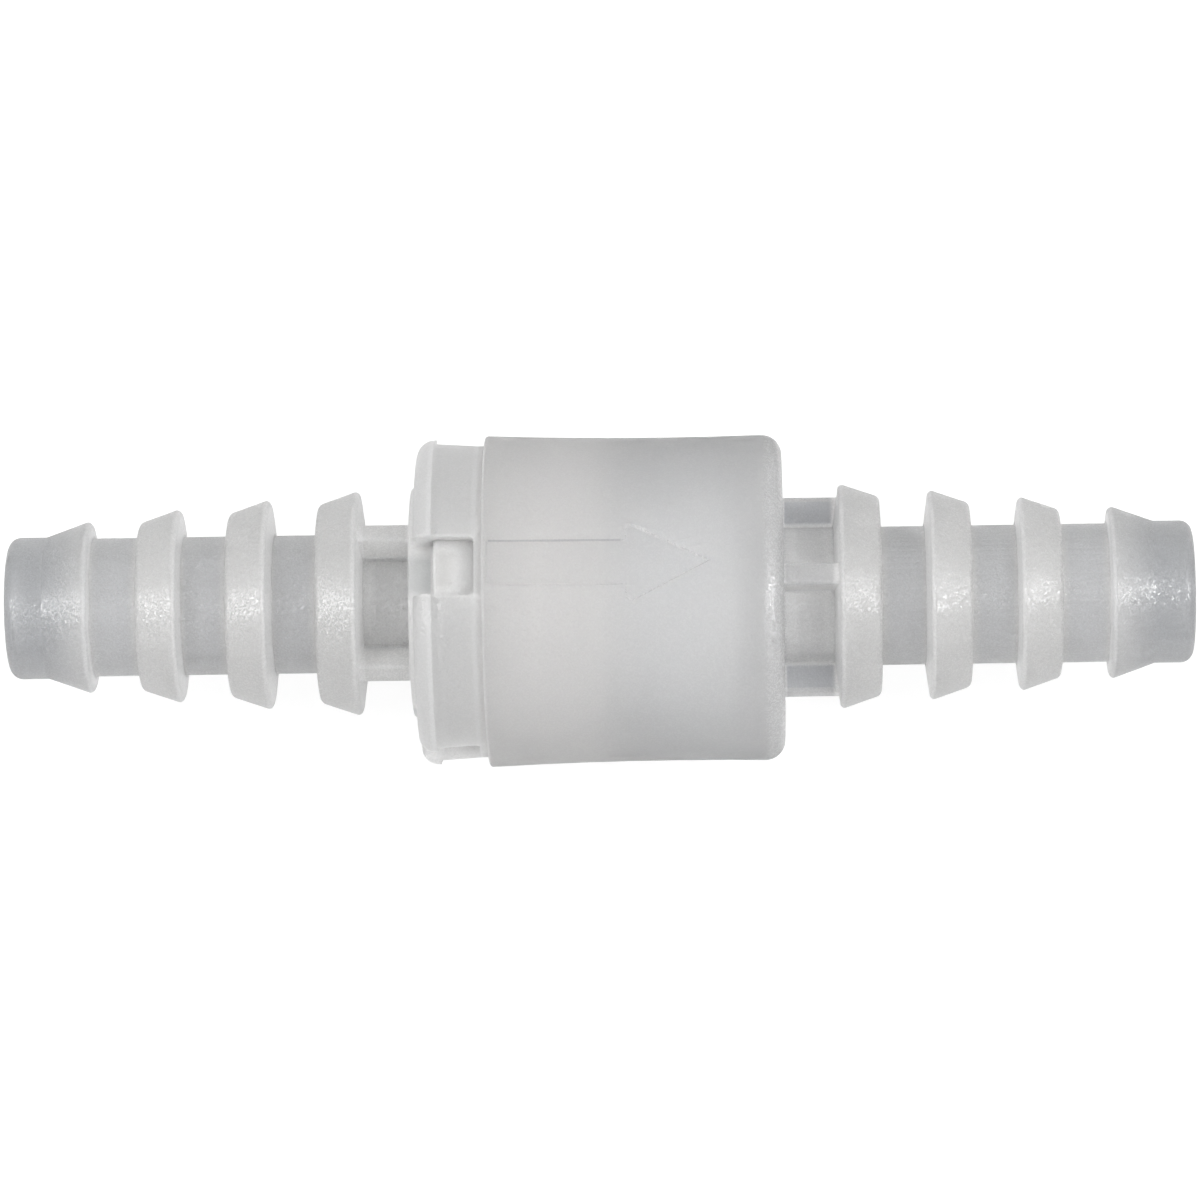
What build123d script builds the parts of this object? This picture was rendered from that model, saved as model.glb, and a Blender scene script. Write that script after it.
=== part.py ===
from build123d import *
from math import radians, tan
import os

# Inline air filter for flexible hose, in millimetres.
# Two translucent mouldings snap together round a small filter pack. Air flows along +X.
# The origin lies on the axis at mid-length. +Z passes through one of the four slots between the snap fingers.

os.makedirs("parts", exist_ok=True)

# Hose spigot, the same at both ends. Lengths are measured from its free end.
flow_r = 2.9
tube_r = 4.0
tip_r = 4.1
tip_round = 0.7
tip_land = 2.2
first_crest = 4.78
barb_pitch = 5.175
barb_length = 2.35
barb_slope = 19.0
barb_back_lean = 8.0
crest_radii = [5.02, 5.64, 6.1, 6.53]
crest_round = 0.25
barb_nose_round = 0.4

# Neck between spigot and body
housing_neck = 2.9
cap_neck = 2.7
neck_rib_r = 5.8
neck_rib_thickness = 1.25
neck_rib_round = 0.2
rib_count = 4
cap_turn = 31.5

# Barrel of the housing, slightly waisted
barrel_length = 17.07
mouth_r = 9.57
waist_r = 9.33
waist_from_mouth = 11.0
end_r = 9.42
mouth_round = 0.2
end_round = 1.15
end_wall = 2.05
chamber_r = 7.5
plenum_r = 6.6
plenum_round = 0.8
chamber_lead_in = 0.25

# Snap fingers of the housing
finger_root = 0.45
finger_length = 2.38
finger_root_r = 9.0
finger_free_r = 9.15
finger_wall = 0.95
hook_length = 1.1
hook_r = 9.37
hook_round = 1.0
hook_bore_r = 6.8
hook_lead_in = 0.25
slot_count = 4
slot_width = 3.4
slot_corner = 0.3

# Plug of the cap
boss_proud = 0.38
boss_clearance = 0.15
boss_round = 0.2
cap_floor = 2.0
recess_r = 5.4
rim_round = 0.15
plug_length = 3.0

# Ring seal in the plug's groove, in the shape that it is squeezed to
seal_width = 1.3
seal_height = 1.0
seal_clearance = 0.03
seal_round = 0.4
groove_width = 1.6
groove_wall = 0.7

# Filter pack
prefilter_thickness = 2.2
membrane_thickness = 0.3
screen_thickness = 1.0
screen_rim = 0.9
screen_ring_r = 4.4
screen_ring_width = 0.5
screen_hub_r = 1.3
screen_bar = 0.7
screen_bars = 8

# Fits
turning_clearance = 0.08
axial_clearance = 0.05
pack_clearance = 0.1

# Radii that follow from the fits
finger_bore_r = finger_root_r - finger_wall
rim_r = finger_bore_r - turning_clearance
boss_r = hook_bore_r - boss_clearance
plug_r = chamber_r - turning_clearance
pack_r = chamber_r - pack_clearance
seal_r = chamber_r - seal_clearance
groove_r = seal_r - seal_height
last_crest_r = crest_radii[-1]
lean = tan(radians(barb_back_lean))

# Places along the axis, worked out from the inlet end
last_crest = first_crest + barb_pitch * (len(crest_radii) - 1)
spigot_length = last_crest + lean * (last_crest_r - tube_r)
fingers_total = finger_root + finger_length + hook_length
total_length = 2 * spigot_length + cap_neck + boss_proud + fingers_total + barrel_length + housing_neck
inlet_end = -total_length / 2
outlet_end = total_length / 2
boss_face = inlet_end + spigot_length + cap_neck
hook_face = boss_face + boss_proud
hook_back = hook_face + hook_length
ledge = hook_back + finger_length
mouth = ledge + finger_root
barrel_end = mouth + barrel_length
rim_front = hook_back + axial_clearance
rim_back = ledge - axial_clearance
nose = rim_back + plug_length
groove_start = nose - groove_wall - groove_width
groove_end = nose - groove_wall
seal_middle = (groove_start + groove_end) / 2
inlet_screen_face = nose + axial_clearance
prefilter_face = inlet_screen_face + screen_thickness
membrane_face = prefilter_face + prefilter_thickness
outlet_screen_face = membrane_face + membrane_thickness
shoulder = outlet_screen_face + screen_thickness
plenum_end = barrel_end - end_wall


def spigot_corners():
    # Corners of the stepped spigot as distance from the free end, radius and rounding
    corners = [(0, flow_r, 0), (0, tip_r, tip_round), (tip_land, tip_r, 0)]
    for step, crest_r in enumerate(crest_radii):
        crest = first_crest + barb_pitch * step
        if step > 0:
            start = crest - barb_length
            start_r = crest_r - barb_length * tan(radians(barb_slope))
            corners.append((start, tube_r, 0))
            corners.append((start, start_r, barb_nose_round))
        corners.append((crest, crest_r, crest_round))
        corners.append((crest + lean * (crest_r - tube_r), tube_r, 0))
    return corners


def neck_ribs(start, turn):
    # Cross-section of the ribs that join the last barb's back to the body, turned from +Z towards +Y
    with BuildSketch(Plane.YZ.offset(start)) as section:
        with PolarLocations(neck_rib_r / 2, rib_count, 90 - turn):
            RectangleRounded(neck_rib_r, neck_rib_thickness, neck_rib_round)
    return section.sketch


# Outlet housing: barrel, snap fingers, ribbed neck and spigot in one moulding
with BuildPart() as outlet_housing:
    with BuildSketch() as barrel_profile:
        with BuildLine():
            Polyline((barrel_end, end_r), (barrel_end, 0), (ledge, 0), (ledge, finger_root_r),
                     (mouth, finger_root_r), (mouth, mouth_r))
            ThreePointArc((mouth, mouth_r), (mouth + waist_from_mouth, waist_r), (barrel_end, end_r))
        make_face()
        fillet(barrel_profile.vertices().sort_by_distance((barrel_end, end_r))[0], end_round)
        fillet(barrel_profile.vertices().sort_by_distance((mouth, mouth_r))[0], mouth_round)
    revolve(axis=Axis.X)
    with BuildSketch() as hook_profile:
        with BuildLine():
            Polyline((ledge, finger_bore_r), (hook_back, finger_bore_r), (hook_back, hook_bore_r),
                     (hook_face, hook_bore_r), (hook_face, hook_r), (hook_back, hook_r),
                     (hook_back, finger_free_r), (ledge, finger_root_r), close=True)
        make_face()
        fillet(hook_profile.vertices().sort_by_distance((hook_face, hook_r))[0], hook_round)
        chamfer(hook_profile.vertices().sort_by_distance((hook_face, hook_bore_r))[0], hook_lead_in)
    revolve(axis=Axis.X)
    slot_reach = ledge - hook_face + slot_corner + hook_round
    slot_planes = [Plane.XY.rotated((360 / slot_count * number, 0, 0)) for number in range(slot_count)]
    with BuildSketch(*slot_planes):
        with Locations((ledge - slot_reach / 2, 0)):
            RectangleRounded(slot_reach, slot_width, slot_corner)
    extrude(amount=mouth_r, mode=Mode.SUBTRACT)
    outlet_corners = [(outlet_end - along, radius) for along, radius, rounding in spigot_corners()]
    outlet_rounds = [rounding for along, radius, rounding in spigot_corners()]
    with BuildSketch():
        with BuildLine():
            FilletPolyline(*outlet_corners, (barrel_end, tube_r), (barrel_end, last_crest_r),
                           (plenum_end, last_crest_r), (plenum_end, flow_r), close=True,
                           radius=[*outlet_rounds, 0, 0, 0, 0])
        make_face()
    revolve(axis=Axis.X)
    extrude(neck_ribs(barrel_end, 0), amount=outlet_end - last_crest - barrel_end)
    with BuildSketch():
        with BuildLine():
            FilletPolyline((ledge, 0), (ledge, chamber_r + chamber_lead_in), (ledge + chamber_lead_in, chamber_r),
                           (shoulder, chamber_r), (shoulder, plenum_r), (plenum_end, plenum_r),
                           (plenum_end, flow_r), (outlet_end, flow_r), (outlet_end, 0), close=True,
                           radius=[0, 0, 0, 0, 0, plenum_round, 0, 0, 0])
        make_face()
    revolve(axis=Axis.X, mode=Mode.SUBTRACT)
outlet_housing.part.label = "outlet_housing"
export_step(outlet_housing.part, "parts/outlet_housing.step")


# Inlet cap: spigot, ribbed neck, boss, rim behind the hooks and plug with the seal groove in one moulding
with BuildPart() as inlet_cap:
    inlet_corners = [(inlet_end + along, radius) for along, radius, rounding in spigot_corners()]
    inlet_rounds = [rounding for along, radius, rounding in spigot_corners()]
    with BuildSketch():
        with BuildLine():
            FilletPolyline(*inlet_corners, (boss_face, tube_r), (boss_face, boss_r), (rim_front, boss_r),
                           (rim_front, rim_r), (rim_back, rim_r), (rim_back, plug_r), (groove_start, plug_r),
                           (groove_start, groove_r), (groove_end, groove_r), (groove_end, plug_r),
                           (nose, plug_r), (nose, recess_r), (boss_face + cap_floor, recess_r),
                           (boss_face + cap_floor, flow_r), close=True,
                           radius=[*inlet_rounds, 0, boss_round, 0, rim_round, 0,
                                   0, 0, 0, 0, 0, 0, 0, 0, 0])
        make_face()
    revolve(axis=Axis.X)
    extrude(neck_ribs(inlet_end + last_crest, cap_turn), amount=boss_face - inlet_end - last_crest)
    with BuildSketch(Plane.YZ.offset(inlet_end)):
        Circle(flow_r)
    extrude(amount=boss_face + cap_floor - inlet_end, mode=Mode.SUBTRACT)
inlet_cap.part.label = "inlet_cap"
export_step(inlet_cap.part, "parts/inlet_cap.step")


# Ring seal in the plug's groove
with BuildPart() as seal_ring:
    with BuildSketch():
        with Locations((seal_middle, seal_r - seal_height / 2)):
            RectangleRounded(seal_width, seal_height, seal_round)
    revolve(axis=Axis.X)
seal_ring.part.label = "seal_ring"
export_step(seal_ring.part, "parts/seal_ring.step")


def screen_grid():
    # Face of a support screen: rim, middle ring, hub and bars
    Circle(pack_r)
    Circle(pack_r - screen_rim, mode=Mode.SUBTRACT)
    Circle(screen_ring_r + screen_ring_width / 2)
    Circle(screen_ring_r - screen_ring_width / 2, mode=Mode.SUBTRACT)
    Circle(screen_hub_r)
    bar_length = pack_r - screen_rim / 2
    with PolarLocations(bar_length / 2, screen_bars):
        Rectangle(bar_length, screen_bar)


# Support screen that the plug's nose presses on the fibre pad
with BuildPart() as inlet_screen:
    with BuildSketch(Plane.YZ.offset(inlet_screen_face)):
        screen_grid()
    extrude(amount=screen_thickness)
inlet_screen.part.label = "inlet_screen"
export_step(inlet_screen.part, "parts/inlet_screen.step")


# Coarse fibre pad
with BuildPart() as prefilter_pad:
    with BuildSketch(Plane.YZ.offset(prefilter_face)):
        Circle(pack_r)
    extrude(amount=prefilter_thickness)
prefilter_pad.part.label = "prefilter_pad"
export_step(prefilter_pad.part, "parts/prefilter_pad.step")


# Fine filter disc
with BuildPart() as filter_membrane:
    with BuildSketch(Plane.YZ.offset(membrane_face)):
        Circle(pack_r)
    extrude(amount=membrane_thickness)
filter_membrane.part.label = "filter_membrane"
export_step(filter_membrane.part, "parts/filter_membrane.step")


# Support screen on the housing's shoulder
with BuildPart() as outlet_screen:
    with BuildSketch(Plane.YZ.offset(outlet_screen_face)):
        screen_grid()
    extrude(amount=screen_thickness)
outlet_screen.part.label = "outlet_screen"
export_step(outlet_screen.part, "parts/outlet_screen.step")
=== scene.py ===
import math
import random

import bmesh
import bpy
from mathutils import Matrix, Vector, noise as solidNoise


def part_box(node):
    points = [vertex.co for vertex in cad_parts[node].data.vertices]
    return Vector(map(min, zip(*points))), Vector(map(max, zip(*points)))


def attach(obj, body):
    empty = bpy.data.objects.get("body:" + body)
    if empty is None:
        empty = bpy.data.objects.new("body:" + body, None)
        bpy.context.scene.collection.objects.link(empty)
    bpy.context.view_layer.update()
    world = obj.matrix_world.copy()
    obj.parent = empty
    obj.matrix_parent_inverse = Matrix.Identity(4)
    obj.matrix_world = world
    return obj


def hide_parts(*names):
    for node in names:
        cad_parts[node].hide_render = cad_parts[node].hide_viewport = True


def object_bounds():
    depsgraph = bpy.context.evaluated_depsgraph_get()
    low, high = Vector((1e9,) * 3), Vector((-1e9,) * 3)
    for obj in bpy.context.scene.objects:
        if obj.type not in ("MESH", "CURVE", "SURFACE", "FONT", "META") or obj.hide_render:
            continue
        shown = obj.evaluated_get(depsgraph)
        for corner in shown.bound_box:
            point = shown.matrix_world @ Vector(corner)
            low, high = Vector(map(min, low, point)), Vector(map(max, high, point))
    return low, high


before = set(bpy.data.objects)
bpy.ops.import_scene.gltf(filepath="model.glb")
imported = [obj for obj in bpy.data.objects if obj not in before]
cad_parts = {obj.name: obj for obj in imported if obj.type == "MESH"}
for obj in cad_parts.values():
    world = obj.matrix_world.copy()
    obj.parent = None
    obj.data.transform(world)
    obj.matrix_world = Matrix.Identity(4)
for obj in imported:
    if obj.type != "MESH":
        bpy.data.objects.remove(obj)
cadBox = [list(corner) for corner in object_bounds()]
print("frame loaded:", len(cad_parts), "nodes")

millimetre = 0.001
mergeReach = 0.000002


class Wire:
    # holds one output of a node, so that shader sums can be written as plain Python
    def __init__(self, tree, socket=None):
        self.tree = tree
        self.socket = socket

    def node(self, kind, settings={}, inputs={}, output=0):
        made = self.tree.nodes.new("ShaderNode" + kind)
        for name, value in settings.items():
            setattr(made, name, value)
        for name, value in inputs.items():
            target = made.inputs[name] if isinstance(name, int) else findSocket(made.inputs, name)
            if isinstance(value, Wire):
                self.tree.links.new(value.socket, target)
            else:
                target.default_value = value
        found = made.outputs[output] if isinstance(output, int) else findSocket(made.outputs, output)
        return Wire(self.tree, found)

    def math(self, operation, *others):
        return self.node("Math", {"operation": operation}, dict(enumerate((self, *others))))

    def vector(self, operation, *others, output=0):
        return self.node("VectorMath", {"operation": operation}, dict(enumerate((self, *others))), output)

    def scaled(self, amount):
        # a colour or a vector times a number
        return self.node("VectorMath", {"operation": "SCALE"}, {0: self, "Scale": amount})

    def axis(self, name):
        return self.node("SeparateXYZ", {}, {0: self}, name)

    def absolute(self):
        return self.math("ABSOLUTE")

    def clamped(self, low=0.0, high=1.0):
        return self.math("MAXIMUM", low).math("MINIMUM", high)

    def rise(self, start, end, low=0.0, high=1.0):
        # goes smoothly from low to high while this value goes from start to end
        inputs = {"Value": self, "From Min": start, "From Max": end, "To Min": low, "To Max": high}
        return self.node("MapRange", {"interpolation_type": "SMOOTHSTEP"}, inputs, "Result")

    def fall(self, start, end, low=0.0):
        return self.rise(start, end, 1.0, low)

    def band(self, start, end, soft):
        # 1 between start and end, with soft edges
        return self.rise(start - soft, start + soft) * self.fall(end - soft, end + soft)

    def __add__(self, other):
        return self.math("ADD", other)

    def __sub__(self, other):
        return self.math("SUBTRACT", other)

    def __mul__(self, other):
        return self.math("MULTIPLY", other)

    def __pow__(self, other):
        return self.math("POWER", other)

    def __rsub__(self, other):
        return self.node("Math", {"operation": "SUBTRACT"}, {0: other, 1: self})

    __radd__ = __add__
    __rmul__ = __mul__


def findSocket(sockets, name):
    return next(socket for socket in sockets if name in (socket.identifier, socket.name))


def newMaterial(name):
    # an empty material, and the wire that its nodes start from
    material = bpy.data.materials.new(name)
    material.use_nodes = True
    material.node_tree.nodes.clear()
    return material, Wire(material.node_tree)


def withSurface(material, shader):
    output = material.node_tree.nodes.new("ShaderNodeOutputMaterial")
    material.node_tree.links.new(shader.socket, output.inputs["Surface"])
    return material


def mixColours(factor, first, second):
    inputs = {"Factor_Float": factor, "A_Color": first, "B_Color": second}
    return factor.node("Mix", {"data_type": "RGBA"}, inputs, "Result_Color")


def mixNumbers(factor, first, second):
    inputs = {"Factor_Float": factor, "A_Float": first, "B_Float": second}
    return factor.node("Mix", {"data_type": "FLOAT"}, inputs, "Result_Float")


def noise(place, scale, detail=2.0, rough=0.5):
    inputs = {"Vector": place, "Scale": scale, "Detail": detail, "Roughness": rough}
    return place.node("TexNoise", {}, inputs, "Fac")


def bump(height, distance):
    return height.node("Bump", {}, {"Distance": distance, "Height": height})


def placeOn(wire):
    # where a point of the piece lies, in millimetres
    return wire.node("TexCoord", {}, {}, "Object").scaled(1 / millimetre)


def fromAxis(place):
    return place.vector("MULTIPLY", (0, 1, 1)).vector("LENGTH", output="Value")


def addObject(name, data):
    made = bpy.data.objects.new(name, data)
    bpy.context.scene.collection.objects.link(made)
    return made


def meshOf(form, name):
    mesh = bpy.data.meshes.new(name)
    form.to_mesh(mesh)
    form.free()
    return mesh


def dress(nodeName, material):
    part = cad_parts[nodeName]
    part.data.materials.clear()
    part.data.materials.append(material)


# the two mouldings' forms in millimetres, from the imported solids
halfLength = cadBox[1][0] / millimetre
spigotForm = {
    # place from the free end, radius
    "crests": ((4.78, 5.02), (9.955, 5.64), (15.13, 6.10), (20.305, 6.53)),
    "barbLength": 2.35,
}
barrelForm = ((-6.48, 9.57), (4.52, 9.33), (10.59, 9.42))    # place along the axis, radius
barrelMouth = barrelForm[0][0]
barrelEnd = barrelForm[-1][0]


def barrelRadius(x):
    # the waisted barrel's radius here, through its three given places, for a number or a wire
    total = 0.0
    for place, radius in barrelForm:
        share = radius
        for other, _ in barrelForm:
            if other != place:
                share = share * ((x - other) * (1 / (place - other)))
        total = total + share
    return total


naturalPlastic = {
    "capTurn": 31.5,             # degrees from +Z towards +Y that the cap's ribs stand at
    "roughness": 0.36,
    "roughnessSpread": 0.08,
    "barrelRoughness": 0.36,     # added on the barrel
    "ior": 1.49,
    "scatterLength": 0.004,
    "paintedCrestLight": 0.6,            # how strongly light is painted along the barbs' crests
    "tipTube": 0.5,              # how much of the tubes' look is left where the tip meets the first barb
    "colours": {
        "barb": (0.885, 0.88, 0.87, 1),
        # painted shade: the tubes between the barbs and the tips are darker, for the shade seen through their
        # thin walls
        "tube": (0.785, 0.79, 0.80, 1),
        "tip": (0.61, 0.62, 0.635, 1),
        "core": (0.82, 0.82, 0.82, 1),
        # painted light: the neck's core is lighter at its ends and next to the ribs, where its corners would
        # lie in shade
        "paintedCoreLight": (0.95, 0.95, 0.945, 1),
        # painted shade: on the outlet neck, the ribs that stand out towards ±Y
        "window": (0.52, 0.53, 0.55, 1),
        # painted shade: the outer parts of the outlet neck's ribs
        "farRib": (0.62, 0.62, 0.625, 1),
        # painted shade: the cap's boss and rim, where they lie deep in the slot between the fingers
        "boss": (0.76, 0.775, 0.775, 1),
        "plug": (0.68, 0.675, 0.665, 1),
        "fingers": (0.94, 0.935, 0.925, 1),
        # painted light: the slot's side walls, and the cap's rim under the fingers and towards the slot's
        # end, lightened against the shade in the slot's corners
        "paintedSlotLight": (1.0, 0.995, 0.985, 1),
        # painted light: the barrel is lighter over the white filter pack inside it
        "paintedPackLight": (0.985, 0.97, 0.96, 1),
        "barrel": (0.895, 0.897, 0.90, 1),
        # painted shade: the far wall of the arrow's shaft
        "paintedShaftShade": (0.70, 0.70, 0.71, 1),
        # painted light and highlights: the barbs' backs and crests, edges near the hooks, fingers' roots and
        # barrel's mouth, and the arrow head's walls
        "paintedLight": (0.98, 0.975, 0.97, 1),
        "mottleScale": 0.16,     # soft flow marks, a few millimetres long
        "mottleDepth": 0.05,
    },
    "milk": {                    # how much of the light scatters in the wall, the rest passes through
        "barb": 0.5,
        "tubeLess": 0.3,
        "windowLess": 0.2,
        "back": 0.85,
        "neck": 0.55,
        "rib": 0.7,
        "fingers": 0.75,
        "pack": 0.45,
        "barrel": 0.3,
        "boss": 0.72,
        "plug": 0.93,
        "edge": 0.95,
        "paintedEdgeShare": 0.6,
        "arrowShare": 0.5,
        "slotShare": 0.8,
    },
    "grain": {
        "scale": 5.5,            # sparked mould grain of about 0.2 mm
        "height": 0.000006,
        "flakeScale": 13.0,      # single facets of the grain, under 0.1 mm
        "milkyTilt": 0.35,
        "milkyRoughness": 0.42,
        "sparkTilt": 0.45,
        "sparkRoughness": 0.27,
        "sparkColour": (0.9, 0.9, 0.9, 1),
        "sparkShare": (0.28, 0.5),
        "strength": 0.1,         # how strongly a facet glints
        "barrelLess": 0.6,
        "roundMore": 0.09,
        "noseMore": 0.04,
        "arrowMore": 0.15,
        "pieceScale": 3.0,       # the highlight painted on the arrow head's walls is broken into short pieces
        "pieces": (0.38, 0.56),
    },
    # where the plastic changes: start and end in millimetres, and a third number softens both
    "zones": {
        # along the axis
        "body": (-10.9, barrelEnd + 0.1, 0.1),
        "plug": (-10.9, -3.9, 0.05),
        "slot": (-10.2, -6.85, 0.05),
        "boss": (-9.5, -9.2),
        "rimEdge": (-9.45, -9.15, 0.06),
        "bossMilk": (-9.4, -9.2),
        "hook": (-9.4, -9.3),
        "plugEnd": (-8.8, -7.6),
        "chamber": (-7.0, -6.95),
        "fingers": (-7.0, -6.5),
        "fingerMilk": (-6.9, -6.4),
        "barrel": (barrelMouth, barrelEnd - 0.3, 0.2),
        "arrow": (-6.3, 6.6, 0.05),
        "arrowShaft": (-6.1, 1.4, 0.05),
        "arrowHead": (1.35, 1.45),
        "pack": (-1.5, 3.0),
        "halves": (-0.5, 0.5),
        "outletHalf": (0.0, 1.0),
        "round": (barrelEnd - 1.3, barrelEnd - 0.8),
        # edges where light is painted: near the hooks, at the fingers' roots and at the barrel's mouth
        "paintedLightEdges": ((-9.62, -9.38, 0.072), (-7.08, -6.82, 0.078), (-6.5, -6.4, 0.03)),
        # from the axis outwards
        "core": (4.0, 4.3),
        "backWall": (4.05, 4.2),
        "tubeWall": (4.15, 4.6),
        "ribFoot": (4.2, 4.35),
        "window": (4.25, 5.6, 0.1),
        "farRib": (5.5, 5.6),
        "hookBore": (6.66, 6.76),
        "chamberWall": (7.44, 7.47),
        "rim": (8.0, 8.03),
        "fingerBore": (8.0, 8.05),
        "outside": (8.05, 8.1),
        # from a spigot's free end
        "tip": (1.5, 5.0),
        "tipWall": (2.0, 4.6),
        "tipEnd": (4.75, 5.0),
        "neck": (20.5, 20.9),
        "coreMiddle": (21.25, 22.8, 0.25),
        # from a barb's crest or nose, and from a ring just behind its crest
        "back": (0.05, 0.45, 0.04),
        "nose": (-0.1, 0.2, 0.06),
        "tube": (0.35, 0.3, 0.3),        # after one crest, and before the next nose
        "crestInset": 0.1,
        "crestReach": (0.1, 0.42),
        # from the planes through the slots or the ribs
        "plugSides": (0.7, 1.6),
        "ribSides": (0.7, 1.6),
        "slotSides": (1.6, 1.85, 0.04),
        # sideways, upwards, and down from the barrel's surface
        "windowSide": (3.6, 3.9),
        "arrowFarSide": (0.0, 0.1),
        "arrowTop": (8.0, 8.1),
        "arrowWalls": (0.035, 0.17, 0.015),
    },
}


def tilted(normal, flake, amount):
    # leans the normal a different way in each flake
    lean = flake.vector("SUBTRACT", (0.5, 0.5, 0.5)).scaled(amount)
    return normal.vector("ADD", lean).vector("NORMALIZE")


def fromCross(place, turn):
    # distance to the nearer of two crossing planes through the axis, turned from +Z towards +Y
    y, z = place.axis("Y"), place.axis("Z")
    across, along = math.cos(math.radians(turn)), math.sin(math.radians(turn))
    return (y * across - z * along).absolute().math("MINIMUM", (y * along + z * across).absolute())


def measureMoulding(wire, look):
    # where a point of the two mouldings lies
    place = placeOn(wire)
    x = place.axis("X")
    fromSlot = fromCross(place, 0.0)
    onHousing = x.rise(*look["zones"]["halves"])
    return {
        "place": place,
        "x": x,
        "radius": fromAxis(place),
        "fromTip": halfLength - x.absolute(),
        "fromSlot": fromSlot,
        "fromRib": mixNumbers(onHousing, fromCross(place, look["capTurn"]), fromSlot),
    }


def maskBody(at, zones):
    # the body and its rounded end, the plug, the edges where light is painted, and the necks
    x, radius, fromSlot = at["x"], at["radius"], at["fromSlot"]
    body = x.band(*zones["body"])
    neck = (1 - body) * at["fromTip"].rise(*zones["neck"])
    outletNeck = neck * x.rise(*zones["outletHalf"])
    sideways = at["place"].axis("Y").absolute()
    inChamber = x.rise(*zones["chamber"]) * radius.rise(*zones["chamberWall"])
    plug = x.band(*zones["plug"]) * radius.fall(*zones["rim"]) * (1 - inChamber)
    # painted light on the cap's rim where it runs under the fingers and towards the slot's end
    paintedPlugLight = plug * (fromSlot.rise(*zones["plugSides"]) + x.rise(*zones["plugEnd"])).clamped()
    hook = x.fall(*zones["hook"]) * radius.rise(*zones["hookBore"])
    fingerWall = (radius.rise(*zones["fingerBore"]) + hook).clamped()
    # painted light on the slot's side walls
    paintedSlotLight = x.band(*zones["slot"]) * fromSlot.band(*zones["slotSides"]) * fingerWall
    # painted light along the edges near the hooks, at the fingers' roots and at the barrel's mouth, and along
    # the cap rim's front edge
    paintedEdgeLight = sum(x.band(*edge) for edge in zones["paintedLightEdges"])
    return {
        "body": body,
        "round": x.rise(*zones["round"]) * body,
        "plug": plug,
        "paintedSlotLight": paintedSlotLight + paintedPlugLight,
        "paintedEdgeLight": paintedEdgeLight * radius.rise(*zones["outside"]) + x.band(*zones["rimEdge"]) * plug,
        "neck": neck,
        # where shade is painted: the outlet neck's ribs that stand out towards ±Y
        "window": outletNeck * radius.band(*zones["window"]) * sideways.rise(*zones["windowSide"]),
        # where shade is painted: the outer parts of the outlet neck's ribs
        "farRib": outletNeck * radius.rise(*zones["farRib"]),
    }


def maskSpigot(at, spigot, neck, look):
    # tubes between the barbs, the barbs' backs and noses, and the light painted along their crests
    fromTip, radius, zones = at["fromTip"], at["radius"], look["zones"]
    crests, barbLength = spigot["crests"], spigot["barbLength"]
    after, before, soft = zones["tube"]
    tube = neck
    for (lastCrest, _), (nextCrest, _) in zip(crests, crests[1:]):
        tube = tube + fromTip.band(lastCrest + after, nextCrest - barbLength - before, soft)
    tip = fromTip.fall(*zones["tipWall"], look["tipTube"]) * fromTip.fall(*zones["tipEnd"])
    back = nose = crest = 0.0
    for place, crestRadius in crests:
        fromCrest = fromTip - place
        back = back + fromCrest.band(*zones["back"])
        nose = nose + (fromCrest + barbLength).band(*zones["nose"])
        reach = ((fromCrest - zones["crestInset"]) ** 2 + (radius - crestRadius) ** 2) ** 0.5
        crest = crest + reach.fall(*zones["crestReach"])
    return {
        "tube": (tube * radius.fall(*zones["tubeWall"])).math("MAXIMUM", tip),
        "back": back * radius.rise(*zones["backWall"]),
        "nose": nose,
        "crest": crest * look["paintedCrestLight"],
    }


def maskArrow(at, grain, zones):
    # walls of the sunk arrow: a highlight is painted on the head's in short pieces, and shade on the shaft's
    # far one
    place, x = at["place"], at["x"]
    walls = (barrelRadius(x) - at["radius"]).band(*zones["arrowWalls"])
    walls = walls * x.band(*zones["arrow"]) * place.axis("Z").rise(*zones["arrowTop"])
    pieces = noise(place, grain["pieceScale"], detail=3.0, rough=0.7).rise(*grain["pieces"])
    return {
        # painted highlight on the arrow head's walls
        "arrowHead": walls * x.rise(*zones["arrowHead"]) * pieces,
        # painted shade on the far wall of the arrow's shaft
        "paintedShaftShade": walls * x.band(*zones["arrowShaft"]) * place.axis("Y").rise(*zones["arrowFarSide"]),
    }


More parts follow.
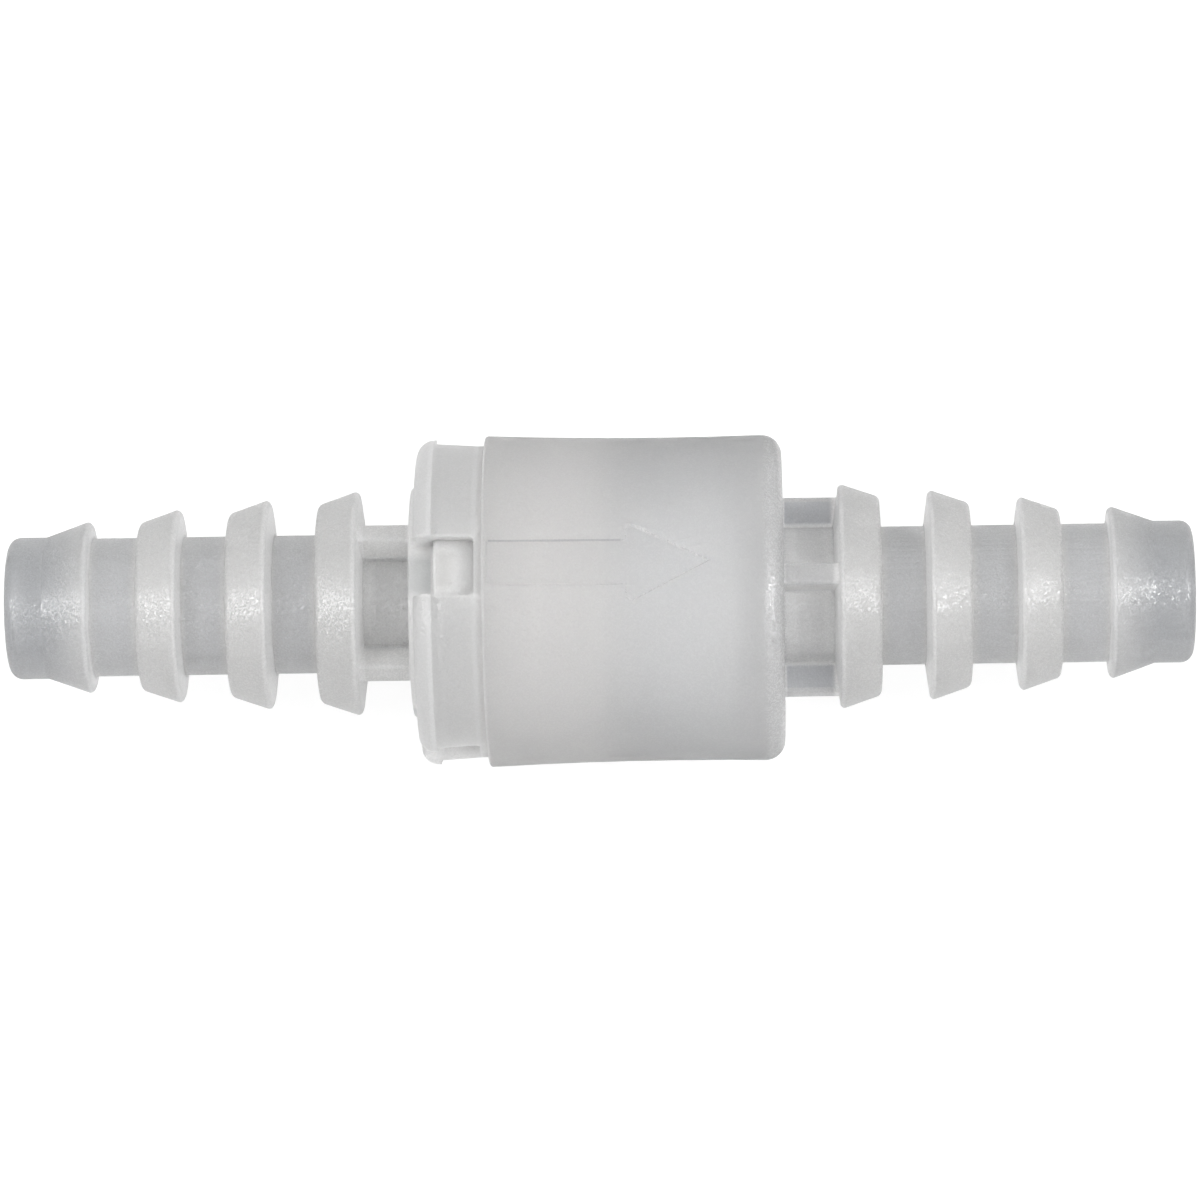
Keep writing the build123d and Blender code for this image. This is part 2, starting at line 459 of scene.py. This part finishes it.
def colourMoulding(at, on, colours, zones):
    x, radius, fromTip = at["x"], at["radius"], at["fromTip"]
    # painted shade on the tubes between the barbs, for the shade seen through their thin walls
    colour = mixColours(on["tube"], colours["barb"], colours["tube"])
    # painted light on the barbs' back faces
    colour = mixColours(on["back"], colour, colours["paintedLight"])
    # painted shade towards each tip's free end, for the shade seen through its thin wall
    colour = mixColours(fromTip.fall(*zones["tip"]), colour, colours["tip"])
    # painted light on the neck's core at its ends and next to the ribs, with its plain colour only in between
    coreMiddle = fromTip.band(*zones["coreMiddle"]) * at["fromRib"].rise(*zones["ribSides"])
    core = mixColours(coreMiddle, colours["paintedCoreLight"], colours["core"])
    colour = mixColours(on["neck"] * radius.fall(*zones["core"]), colour, core)
    # painted shade on the outlet neck's ribs that stand out towards ±Y
    colour = mixColours(on["window"], colour, colours["window"])
    # painted shade on the outer parts of the outlet neck's ribs
    colour = mixColours(on["farRib"], colour, colours["farRib"])
    # painted light on the barrel over the filter pack
    barrel = mixColours(x.rise(*zones["pack"]), colours["paintedPackLight"], colours["barrel"])
    body = mixColours(x.rise(*zones["fingers"]), colours["fingers"], barrel)
    colour = mixColours(on["body"], colour, body)
    # painted shade on the cap's boss and rim deep in the slot
    plug = mixColours(x.rise(*zones["boss"]), colours["boss"], colours["plug"])
    colour = mixColours(on["plug"], colour, plug)
    # painted light in the slot's corners and along its sides
    colour = mixColours(on["paintedSlotLight"].clamped(), colour, colours["paintedSlotLight"])
    # painted highlights along the crests, the edges near the hooks, the fingers' roots and the barrel's
    # mouth, and on the arrow head's walls
    colour = mixColours((on["crest"] + on["paintedEdgeLight"] + on["arrowHead"]).clamped(), colour, colours["paintedLight"])
    # painted shade on the arrow shaft's far wall
    colour = mixColours(on["paintedShaftShade"], colour, colours["paintedShaftShade"])
    mottle = noise(at["place"], colours["mottleScale"], detail=3.0) - 0.5
    return colour.scaled(mottle * colours["mottleDepth"] + 1.0)


def milkMoulding(at, on, milk, zones):
    x, radius = at["x"], at["radius"]
    share = milk["barb"] - on["tube"] * milk["tubeLess"] - on["window"] * milk["windowLess"]
    share = mixNumbers(on["back"], share, milk["back"])
    share = mixNumbers(on["neck"], share, radius.rise(*zones["ribFoot"], milk["neck"], milk["rib"]))
    barrel = mixNumbers(x.rise(*zones["pack"]), milk["pack"], milk["barrel"])
    body = mixNumbers(x.rise(*zones["fingerMilk"]), milk["fingers"], barrel)
    share = mixNumbers(on["body"], share, body)
    share = mixNumbers(on["plug"], share, x.rise(*zones["bossMilk"], milk["boss"], milk["plug"]))
    # where light is painted, the wall also scatters more
    paintedLightPlaces = on["crest"] + on["paintedEdgeLight"] * milk["paintedEdgeShare"] + on["arrowHead"] * milk["arrowShare"]
    paintedLightPlaces = paintedLightPlaces + on["paintedSlotLight"] * milk["slotShare"]
    return mixNumbers(paintedLightPlaces.clamped(), share, milk["edge"])


def addSparks(shader, on, grain, normal, flake):
    # facets that glint: less on the barrel, more at its rounded end, on the barbs' noses and the arrow
    facet = shader.node("BsdfPrincipled", {}, {
        "Base Color": grain["sparkColour"],
        "Metallic": 1.0,
        "Roughness": grain["sparkRoughness"],
        "Normal": tilted(normal, flake, grain["sparkTilt"]),
    })
    strength = grain["strength"] * (1 - (on["body"] - on["round"]) * grain["barrelLess"])
    strength = strength + on["round"] * grain["roundMore"] + on["nose"] * grain["noseMore"]
    strength = strength + on["arrowHead"] * grain["arrowMore"]
    share = flake.axis("Y").rise(*grain["sparkShare"]) * strength
    return shader.node("MixShader", {}, {0: share, 1: shader, 2: facet})


def makeNaturalPlastic(look, spigot):
    # milky polypropylene with a satin sparked surface, clearer where the wall is thin
    material, wire = newMaterial("natural_plastic")
    grain, zones = look["grain"], look["zones"]
    at = measureMoulding(wire, look)
    on = maskBody(at, zones)
    on.update(maskSpigot(at, spigot, on["neck"], look))
    on.update(maskArrow(at, grain, zones))
    colour = colourMoulding(at, on, look["colours"], zones)
    height = noise(at["place"], grain["scale"], rough=0.6)
    normal = bump(height, grain["height"])
    flake = wire.node("TexVoronoi", {}, {"Vector": at["place"], "Scale": grain["flakeScale"]}, "Color")
    uneven = (height - 0.5) * look["roughnessSpread"]
    clear = wire.node("BsdfPrincipled", {}, {
        "Base Color": colour,
        "Roughness": uneven + look["roughness"] + at["x"].band(*zones["barrel"]) * look["barrelRoughness"],
        "Normal": normal,
        "IOR": look["ior"],
        "Transmission Weight": 1.0,
    })
    milky = wire.node("BsdfPrincipled", {"subsurface_method": "RANDOM_WALK"}, {
        "Base Color": colour,
        "Roughness": uneven + grain["milkyRoughness"],
        "Normal": tilted(normal, flake, grain["milkyTilt"]),
        "IOR": look["ior"],
        "Subsurface Weight": 1.0,
        "Subsurface Scale": look["scatterLength"],
        "Subsurface Radius": (1.0, 1.0, 1.0),
    })
    milk = milkMoulding(at, on, look["milk"], zones)
    shader = wire.node("MixShader", {}, {0: milk, 1: clear, 2: milky})
    return withSurface(material, addSparks(shader, on, grain, normal, flake))


plasticMaterial = makeNaturalPlastic(naturalPlastic, spigotForm)
for nodeName in ("outlet_housing", "inlet_cap"):
    dress(nodeName, plasticMaterial)
print("plastic done")


sealRubber = {
    "colour": (0.90, 0.90, 0.89, 1),
    "bloomColour": (1.0, 1.0, 1.0, 1),
    "bloomScale": 0.7,
    "bloom": (0.35, 0.7),
    "bloomShare": 0.25,
    "bloomRoughness": 0.15,
    "roughness": 0.45,
    "grainScale": 9.0,
    "grainHeight": 0.000004,
    "ior": 1.41,
    "scatterShare": 0.8,
    "scatterLength": 0.002,
}


def makeSealRubber(look):
    # clear soft silicone, slightly cloudy, with a fine talc bloom
    material, wire = newMaterial("seal_rubber")
    place = placeOn(wire)
    bloom = noise(place, look["bloomScale"]).rise(*look["bloom"])
    shader = wire.node("BsdfPrincipled", {}, {
        "Base Color": mixColours(bloom * look["bloomShare"], look["colour"], look["bloomColour"]),
        "Roughness": bloom * look["bloomRoughness"] + look["roughness"],
        "Normal": bump(noise(place, look["grainScale"], detail=3.0), look["grainHeight"]),
        "IOR": look["ior"],
        "Subsurface Weight": look["scatterShare"],
        "Subsurface Scale": look["scatterLength"],
        "Subsurface Radius": (1.0, 1.0, 1.0),
    })
    return withSurface(material, shader)


screenPlastic = {
    "colour": (0.93, 0.93, 0.925, 1),
    "shadow": (0.86, 0.86, 0.855, 1),
    "shadowShare": 0.5,
    "flowScale": 0.5,
    "flow": (0.3, 0.75),
    "gateInside": (0.2, 0.35),   # the gate leaves a ring round the hub's middle, in millimetres
    "gateOutside": (0.35, 0.5),
    "roughness": 0.42,
    "roughnessSpread": 0.15,
    "grainScale": 8.0,
    "grainHeight": 0.000006,
}


def makeScreenPlastic(look):
    # white satin moulding with faint flow marks and the gate's ring on its hub
    material, wire = newMaterial("screen_plastic")
    place = placeOn(wire)
    radius = fromAxis(place)
    flow = noise(place, look["flowScale"], detail=3.0).rise(*look["flow"]) * look["shadowShare"]
    gate = radius.rise(*look["gateInside"]) * radius.fall(*look["gateOutside"]) * look["shadowShare"]
    grain = noise(place, look["grainScale"], rough=0.6)
    shader = wire.node("BsdfPrincipled", {}, {
        "Base Color": mixColours((flow + gate).clamped(), look["colour"], look["shadow"]),
        "Roughness": grain * look["roughnessSpread"] + look["roughness"],
        "Normal": bump(grain, look["grainHeight"]),
    })
    return withSurface(material, shader)


dress("seal_ring", makeSealRubber(sealRubber))
screenMaterial = makeScreenPlastic(screenPlastic)
for nodeName in ("inlet_screen", "outlet_screen"):
    dress(nodeName, screenMaterial)
print("seal and screens done")


def finishPiece(form, name, material):
    # turns the bmesh into a smooth object at the origin that rides on the housing
    bmesh.ops.recalc_face_normals(form, faces=form.faces)
    mesh = meshOf(form, name)
    for face in mesh.polygons:
        face.use_smooth = True
    mesh.materials.append(material)
    piece = addObject(name, mesh)
    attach(piece, "housing")
    return piece


def spunDisc(corners, steps):
    # a closed disc about the X axis, from its half outline of (x, radius) points in metres
    form = bmesh.new()
    points = [form.verts.new((x, 0, radius)) for x, radius in corners]
    edges = [form.edges.new(pair) for pair in zip(points, points[1:])]
    bmesh.ops.spin(form, geom=points + edges, cent=(0, 0, 0), axis=(1, 0, 0), angle=math.tau, steps=steps,
                   use_merge=True)
    bmesh.ops.remove_doubles(form, verts=form.verts, dist=mergeReach)
    return form


fibrePad = {
    "rings": 26,
    "ringCrowding": 1.6,         # rings lie closer together towards the rim
    "steps": 120,
    "rimFall": 0.0002,           # the faces fall away by this much towards the rim
    "rimSquareness": 10,
    "lump": 0.00005,
    "lumpScale": 900.0,
    "lumpSideways": 0.15,
    "faceFibres": 420,
    "rimFibres": 240,
    "fibreRadius": 0.000022,
    "fibreLength": (0.0012, 0.0032),
    "fibreBend": 1.6,
    "fibrePoints": 5,
    "sink": 0.00004,
    "middleGap": 0.0006,         # a strand on a face has its middle at least this far inside the rim
    "reachGap": 0.0003,          # and all of it at least this far
    "rimHeight": 0.6,            # a strand on the rim has its middle in this share of the thickness
    "rimReach": 0.75,            # and all of it in this share
    "rimSwing": 0.4,
    "rimSlant": 0.6,
    "rimRound": 0.02,
    "seed": 7,
    # painted shade: soft darker patches for the fleece's hollows
    "paintedShadeColour": (0.94, 0.94, 0.93, 1),
    "colour": (0.99, 0.985, 0.98, 1),
    "paintedShadeScale": 1.1,
    "paintedShade": (0.3, 0.7),
    "tangleScale": 4.0,
    "tangleHeight": 0.7,
    "strandScale": 3.2,
    "strandWidth": 0.12,
    "strandHeight": 0.5,
    "bumpHeight": 0.00006,
    "roughness": 0.9,
    "sheen": 0.2,
    "sheenRoughness": 0.5,
}


def makeFibreMaterial(look):
    # white polyester fleece: bright crossing fibres, with soft patches painted darker as shade in its hollows
    material, wire = newMaterial("filter_fibre")
    place = placeOn(wire)
    tangle = noise(place, look["tangleScale"], detail=5.0, rough=0.65)
    paintedShade = noise(place, look["paintedShadeScale"]).rise(*look["paintedShade"])
    edges = {"Vector": place, "Scale": look["strandScale"]}
    strand = wire.node("TexVoronoi", {"feature": "DISTANCE_TO_EDGE"}, edges, "Distance")
    height = tangle * look["tangleHeight"] + strand.rise(0.0, look["strandWidth"], look["strandHeight"], 0.0)
    shader = wire.node("BsdfPrincipled", {}, {
        "Base Color": mixColours(paintedShade, look["paintedShadeColour"], look["colour"]),
        "Roughness": look["roughness"],
        "Normal": bump(height, look["bumpHeight"]),
        "Sheen Weight": look["sheen"],
        "Sheen Roughness": look["sheenRoughness"],
    })
    return withSurface(material, shader)


def measurePad(look):
    low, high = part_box("prefilter_pad")
    return {
        "middle": (low.x + high.x) / 2,
        "half": (high.x - low.x) / 2 - look["lump"],
        "outer": high.y - look["lump"],
    }


def padHeight(look, pad, radius):
    # how far the pad's face stands from its middle at this radius, rounded over at the rim
    inwards = max(0.0, 1.0 - (radius / pad["outer"]) ** look["rimSquareness"])
    return (pad["half"] - look["rimFall"]) * inwards ** 0.5 + look["rimFall"] * inwards


def makeFibrePad(look, pad, material):
    middle, rings, sideways = pad["middle"], look["rings"], look["lumpSideways"]
    radii = [pad["outer"] * (1 - (1 - ring / rings) ** look["ringCrowding"]) for ring in range(rings + 1)]
    side = [(middle + padHeight(look, pad, radius), radius) for radius in radii]
    form = spunDisc([(2 * middle - x, radius) for x, radius in side] + side[-2::-1], look["steps"])
    for vertex in form.verts:
        sway = solidNoise.noise(vertex.co * look["lumpScale"]) * look["lump"]
        outwards = Vector((vertex.co.x - middle, vertex.co.y * sideways, vertex.co.z * sideways)).normalized()
        vertex.co += outwards * sway
    piece = finishPiece(form, "fibre_pad", material)
    return piece


def rimPlace(look, pad, height, start, along, heading):
    # a strand's point on the pad's rim
    half, outer = pad["half"], pad["outer"]
    angle = start + along * math.cos(heading * look["rimSwing"]) / outer
    reach = look["rimReach"] * half
    x = max(-reach, min(reach, height + along * math.sin(heading) * look["rimSlant"]))
    radius = outer * (1 - (abs(x) / half) ** 4 * look["rimRound"]) - look["sink"]
    return pad["middle"] + x, radius * math.cos(angle), radius * math.sin(angle)


def facePlace(look, pad, side, spot, along, heading, lift):
    # a strand's point on one of the pad's faces
    flat = spot + Vector((math.cos(heading), math.sin(heading))) * along
    flat *= min(1.0, (pad["outer"] - look["reachGap"]) / max(flat.length, 0.0001))
    x = padHeight(look, pad, flat.length) - look["sink"] + lift
    return pad["middle"] + side * x, flat.x, flat.y


def makeFibres(look, pad, material):
    # loose strands that lie over the pad's faces and round its rim
    chance = random.Random(look["seed"])
    curve = bpy.data.curves.new("pad_fibres", "CURVE")
    curve.dimensions = "3D"
    curve.bevel_depth = look["fibreRadius"]
    curve.bevel_resolution = 0
    curve.resolution_u = 2
    curve.use_fill_caps = True
    for number in range(2 * look["faceFibres"] + look["rimFibres"]):
        onRim = number >= 2 * look["faceFibres"]
        side = 1 if number % 2 else -1
        length = chance.uniform(*look["fibreLength"])
        turn = chance.uniform(0, math.tau)
        bend = chance.uniform(-look["fibreBend"], look["fibreBend"])
        if onRim:
            height = chance.uniform(-look["rimHeight"], look["rimHeight"]) * pad["half"]
        else:
            spot = Vector((math.sqrt(chance.random()) * (pad["outer"] - look["middleGap"]), 0))
            spot.rotate(Matrix.Rotation(chance.uniform(0, math.tau), 2))
        start = chance.uniform(0, math.tau)
        spline = curve.splines.new("NURBS")
        spline.points.add(look["fibrePoints"] - 1)
        for step, point in enumerate(spline.points):
            share = step / (look["fibrePoints"] - 1)
            along, heading = (share - 0.5) * length, turn + bend * share
            if onRim:
                place = rimPlace(look, pad, height, start, along, heading)
            else:
                place = facePlace(look, pad, side, spot, along, heading, chance.uniform(0, look["lump"]))
            point.co = (*place, 1)
        spline.order_u = 3
        spline.use_endpoint_u = True
    holder = bpy.data.objects.new("pad_fibres_curve", curve)
    form = bmesh.new()
    form.from_mesh(bpy.data.meshes.new_from_object(holder))
    bpy.data.objects.remove(holder)
    return finishPiece(form, "pad_fibres", material)


fibreMaterial = makeFibreMaterial(fibrePad)
padForm = measurePad(fibrePad)
padPiece = makeFibrePad(fibrePad, padForm, fibreMaterial)
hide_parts("prefilter_pad")
makeFibres(fibrePad, padForm, fibreMaterial)
print("fibre pad done")


filmDisc = {
    "rings": 20,
    "steps": 120,
    "weldFrom": 0.0068,          # outside this radius the film is pressed flat
    "weldFall": 0.00004,
    "ripple": 0.00002,
    "rippleScale": 500.0,
    "edge": 0.00006,
    "gap": 0.00001,
    "colour": (0.96, 0.96, 0.955, 1),
    "cloudColour": (0.90, 0.90, 0.89, 1),
    "pressedColour": (0.82, 0.83, 0.83, 1),
    "cloudScale": 0.8,
    "cloud": (0.3, 0.7),
    "webScale": 9.0,
    "webHeight": 0.6,
    "pointScale": 1.3,           # rows of pressed points, turned by this many degrees
    "pointTurn": 45.0,
    "point": (0.12, 0.2),
    "pressedShare": 0.5,
    "roughness": 0.85,
    "pressedGloss": 0.3,
    "bumpHeight": 0.00003,
    "sheen": 0.2,
}


def makeFilmMaterial(look):
    # fine melt-blown fleece with small pressed points in rows
    material, wire = newMaterial("filter_film")
    place = placeOn(wire)
    web = noise(place, look["webScale"], detail=4.0, rough=0.7)
    cloud = noise(place, look["cloudScale"], detail=3.0).rise(*look["cloud"])
    turn = (math.radians(look["pointTurn"]), 0, 0)
    turned = wire.node("Mapping", {}, {"Vector": place, "Rotation": turn})
    rows = {"Vector": turned, "Scale": look["pointScale"], "Randomness": 0.0}
    pressed = wire.node("TexVoronoi", {}, rows, "Distance").fall(*look["point"])
    colour = mixColours(cloud, look["cloudColour"], look["colour"])
    shader = wire.node("BsdfPrincipled", {}, {
        "Base Color": mixColours(pressed * look["pressedShare"], colour, look["pressedColour"]),
        "Roughness": look["roughness"] - pressed * look["pressedGloss"],
        "Normal": bump(web * look["webHeight"] - pressed, look["bumpHeight"]),
        "Sheen Weight": look["sheen"],
    })
    return withSurface(material, shader)


def makeFilmDisc(look, material):
    low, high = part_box("filter_membrane")
    middle, half, outer = (low.x + high.x) / 2, (high.x - low.x) / 2 - look["ripple"], high.y - look["gap"]
    radii = [outer * ring / look["rings"] for ring in range(look["rings"])] + [outer - look["edge"]]
    side = [(half - (look["weldFall"] if radius > look["weldFrom"] else 0), radius) for radius in radii]
    side.append((half - look["weldFall"] - look["edge"], outer))
    lower = [(middle - x, radius) for x, radius in side]
    upper = [(middle + x, radius) for x, radius in reversed(side)]
    form = spunDisc(lower + upper, look["steps"])
    for vertex in form.verts:
        across = Vector((0, vertex.co.y, vertex.co.z))
        vertex.co.x += solidNoise.noise(across * look["rippleScale"]) * look["ripple"]
    film = finishPiece(form, "film_disc", material)
    return film


film = makeFilmDisc(filmDisc, makeFilmMaterial(filmDisc))
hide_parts("filter_membrane")
print("film done")


flowArrow = {
    "start": -6.25,              # along the barrel, in millimetres
    "neck": 1.62,
    "tip": 6.47,
    "shaft": 1.35,               # half widths
    "head": 2.5,
    "cornerRound": 0.6,
    "depth": 0.2,
    "slope": 0.1,                # how far its walls lean
    "above": 0.05,
    "edgeRound": 0.04,
    "sharpAngle": 24.0,
    "bend": 0.3,                 # how far apart the cuts are that let it bend round the barrel
}


def cutAcross(form, place, normal):
    everything = form.verts[:] + form.edges[:] + form.faces[:]
    bmesh.ops.bisect_plane(form, geom=everything, plane_co=place, plane_no=normal, dist=0.0001)


def bendRound(form):
    # lays a flat form round the barrel
    for vertex in form.verts:
        x, side, height = vertex.co
        radius = barrelRadius(x)
        angle = side / radius
        vertex.co = Vector((x, (radius + height) * math.sin(angle), (radius + height) * math.cos(angle)))


def makeFlowArrow(look):
    # the form that is cut out of the barrel
    start, neck, tip, shaft, head = (look[name] for name in ("start", "neck", "tip", "shaft", "head"))
    lower = [(start, -shaft), (neck, -shaft), (neck, -head)]
    outline = lower + [(tip, 0)] + [(x, -side) for x, side in reversed(lower)]
    form = bmesh.new()
    corners = [form.verts.new((x, side, look["above"])) for x, side in outline]
    form.faces.new(corners)
    bmesh.ops.bevel(form, geom=[corners[2], corners[4]], offset=look["cornerRound"], offset_type="OFFSET",
                    segments=5, profile=0.5, affect="VERTICES", material=-1)
    sunk = bmesh.ops.extrude_face_region(form, geom=list(form.faces))
    lowered = [item for item in sunk["geom"] if isinstance(item, bmesh.types.BMVert)]
    bmesh.ops.translate(form, verts=lowered, vec=(0, 0, -look["above"]))
    bmesh.ops.recalc_face_normals(form, faces=form.faces)
    bottom = [face for face in form.faces if face.normal.z < -0.9]
    bmesh.ops.inset_region(form, faces=bottom, thickness=look["slope"], depth=look["depth"],
                           use_even_offset=True)
    halfway = -0.5 * look["depth"]
    deepest = [edge for edge in form.edges if all(vertex.co.z < halfway for vertex in edge.verts)]
    bmesh.ops.bevel(form, geom=deepest, offset=look["edgeRound"], offset_type="OFFSET",
                    segments=2, profile=0.5, affect="EDGES", material=-1, clamp_overlap=True)
    cuts = int(head / look["bend"])
    for cut in range(-cuts, cuts + 1):
        cutAcross(form, (0, cut * look["bend"], 0), (0, 1, 0))
    for cut in range(int(start), int(tip) + 1):
        cutAcross(form, (cut, 0, 0), (1, 0, 0))
    bendRound(form)
    bmesh.ops.scale(form, verts=form.verts, vec=(millimetre,) * 3)
    bmesh.ops.recalc_face_normals(form, faces=form.faces)
    return addObject("arrow_form", meshOf(form, "arrow_form"))


def mergedCopy(nodeName, name):
    # a CAD node's mesh is loose triangles, so a cut needs a merged copy
    form = bmesh.new()
    form.from_mesh(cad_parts[nodeName].data)
    bmesh.ops.remove_doubles(form, verts=form.verts, dist=mergeReach)
    return addObject(name, meshOf(form, name))


def sinkArrow(look, arrow, material):
    # the arrow is moulded in, so the housing's copy with the arrow cut out takes its place
    merged = mergedCopy("outlet_housing", "housing_merged")
    cut = merged.modifiers.new("arrow", "BOOLEAN")
    cut.operation = "DIFFERENCE"
    cut.solver = "MANIFOLD"
    cut.object = arrow
    bpy.context.view_layer.update()
    mesh = bpy.data.meshes.new_from_object(merged.evaluated_get(bpy.context.evaluated_depsgraph_get()))
    for helper in (merged, arrow):
        bpy.data.objects.remove(helper)
    mesh.name = "moulded_housing"
    for face in mesh.polygons:
        face.use_smooth = True
    mesh.set_sharp_from_angle(angle=math.radians(look["sharpAngle"]))
    mesh.materials.clear()
    mesh.materials.append(material)
    piece = addObject("moulded_housing", mesh)
    even = piece.modifiers.new("even_shading", "WEIGHTED_NORMAL")
    even.keep_sharp = True
    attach(piece, "housing")
    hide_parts("outlet_housing")
    return piece


housingPiece = sinkArrow(flowArrow, makeFlowArrow(flowArrow), plasticMaterial)
print("housing with flow arrow done:", len(housingPiece.data.polygons), "faces")


studio = {
    "floorSide": 3.0,
    "floorColour": (0.30, 0.30, 0.30, 1),
    "floorBounce": (0.95, 0.95, 0.95, 1),    # what the plastic gets back from below
    "floorLift": 0.85,                       # brings the open floor up to white for the camera
    "worldColour": (1.0, 1.0, 1.0, 1),
    "worldStrength": 0.55,
    "lampDistance": 0.9,
    "lampSide": 0.25,
    "lampTurn": 38.0,            # degrees to each side, as the shine on the slanted barbs shows
    "lampRise": 10.0,            # degrees above the camera's own direction
    "lampPower": 2.2,
}


def seenDirectly(wire):
    # 1 for what the camera sees straight, in a gloss or through the plastic
    path = wire.node("LightPath", {}, {}, "Is Camera Ray")
    outputs = path.socket.node.outputs
    gloss = Wire(wire.tree, findSocket(outputs, "Is Glossy Ray"))
    through = Wire(wire.tree, findSocket(outputs, "Is Transmission Ray"))
    return (path + gloss + through).clamped()


def makeWorld(look):
    world = bpy.data.worlds.new("studio")
    bpy.context.scene.world = world
    world.use_nodes = True
    tree = world.node_tree
    tree.nodes.clear()
    wire = Wire(tree)
    strength = seenDirectly(wire) * (1.0 - look["worldStrength"]) + look["worldStrength"]
    background = wire.node("Background", {}, {"Color": look["worldColour"], "Strength": strength})
    output = tree.nodes.new("ShaderNodeOutputWorld")
    tree.links.new(background.socket, output.inputs["Surface"])


def makeFloor(look, height):
    form = bmesh.new()
    bmesh.ops.create_grid(form, x_segments=1, y_segments=1, size=look["floorSide"] / 2)
    bmesh.ops.translate(form, verts=form.verts, vec=(0, 0, height))
    floor = addObject("floor", meshOf(form, "floor"))
    material, wire = newMaterial("floor")
    colour = mixColours(seenDirectly(wire), look["floorBounce"], look["floorColour"])
    diffuse = wire.node("BsdfDiffuse", {}, {"Color": colour})
    lift = seenDirectly(wire) * look["floorLift"]
    paintedLight = wire.node("Emission", {}, {"Color": (1.0, 1.0, 1.0, 1), "Strength": lift})
    shader = wire.node("AddShader", {}, {0: diffuse, 1: paintedLight})
    floor.data.materials.append(withSurface(material, shader))


def addLamp(look, name, place):
    # a square lamp that faces the object's middle
    lamp = bpy.data.lights.new(name, "AREA")
    lamp.shape = "SQUARE"
    lamp.size = look["lampSide"]
    lamp.energy = look["lampPower"]
    holder = addObject(name, lamp)
    holder.location = place
    holder.rotation_euler = (-place).to_track_quat("-Z", "Y").to_euler()


viewpoint = {
    "distance": 0.3584,          # from the object's middle
    "tilt": 13.5,                # degrees from straight above, towards -Y
    "sideways": 0.0077,
    "roll": math.degrees(math.atan(0.0149)),
    "lens": 186.0,
    "sensor": 36.0,
}


def makeCamera(look):
    # returns the direction from the object's middle to the camera, without the sideways shift
    tilt = math.radians(look["tilt"])
    up = Vector((0, math.cos(tilt), math.sin(tilt)))
    outwards = Vector((0, -math.sin(tilt), math.cos(tilt)))
    place = outwards * look["distance"] + Vector((look["sideways"], 0, 0))
    back = place.normalized()
    right = up.cross(back).normalized()
    turned = Matrix((right, back.cross(right), back)).transposed().to_4x4()
    rolled = Matrix.Rotation(-math.radians(look["roll"]), 4, "Z")
    data = bpy.data.cameras.new("camera")
    data.lens = look["lens"]
    data.sensor_width = look["sensor"]
    camera = addObject("camera", data)
    camera.matrix_world = Matrix.Translation(place) @ turned @ rolled
    bpy.context.scene.camera = camera
    return outwards


makeWorld(studio)
makeFloor(studio, cadBox[0][2])
front = Matrix.Rotation(-math.radians(studio["lampRise"]), 3, "X") @ makeCamera(viewpoint)
for side, name in ((-1, "left_lamp"), (1, "right_lamp")):
    turn = math.radians(studio["lampTurn"]) * side
    direction = front * math.cos(turn) + Vector((1, 0, 0)) * math.sin(turn)
    addLamp(studio, name, direction * studio["lampDistance"])
bpy.context.scene.view_settings.view_transform = "Standard"
print("studio done")
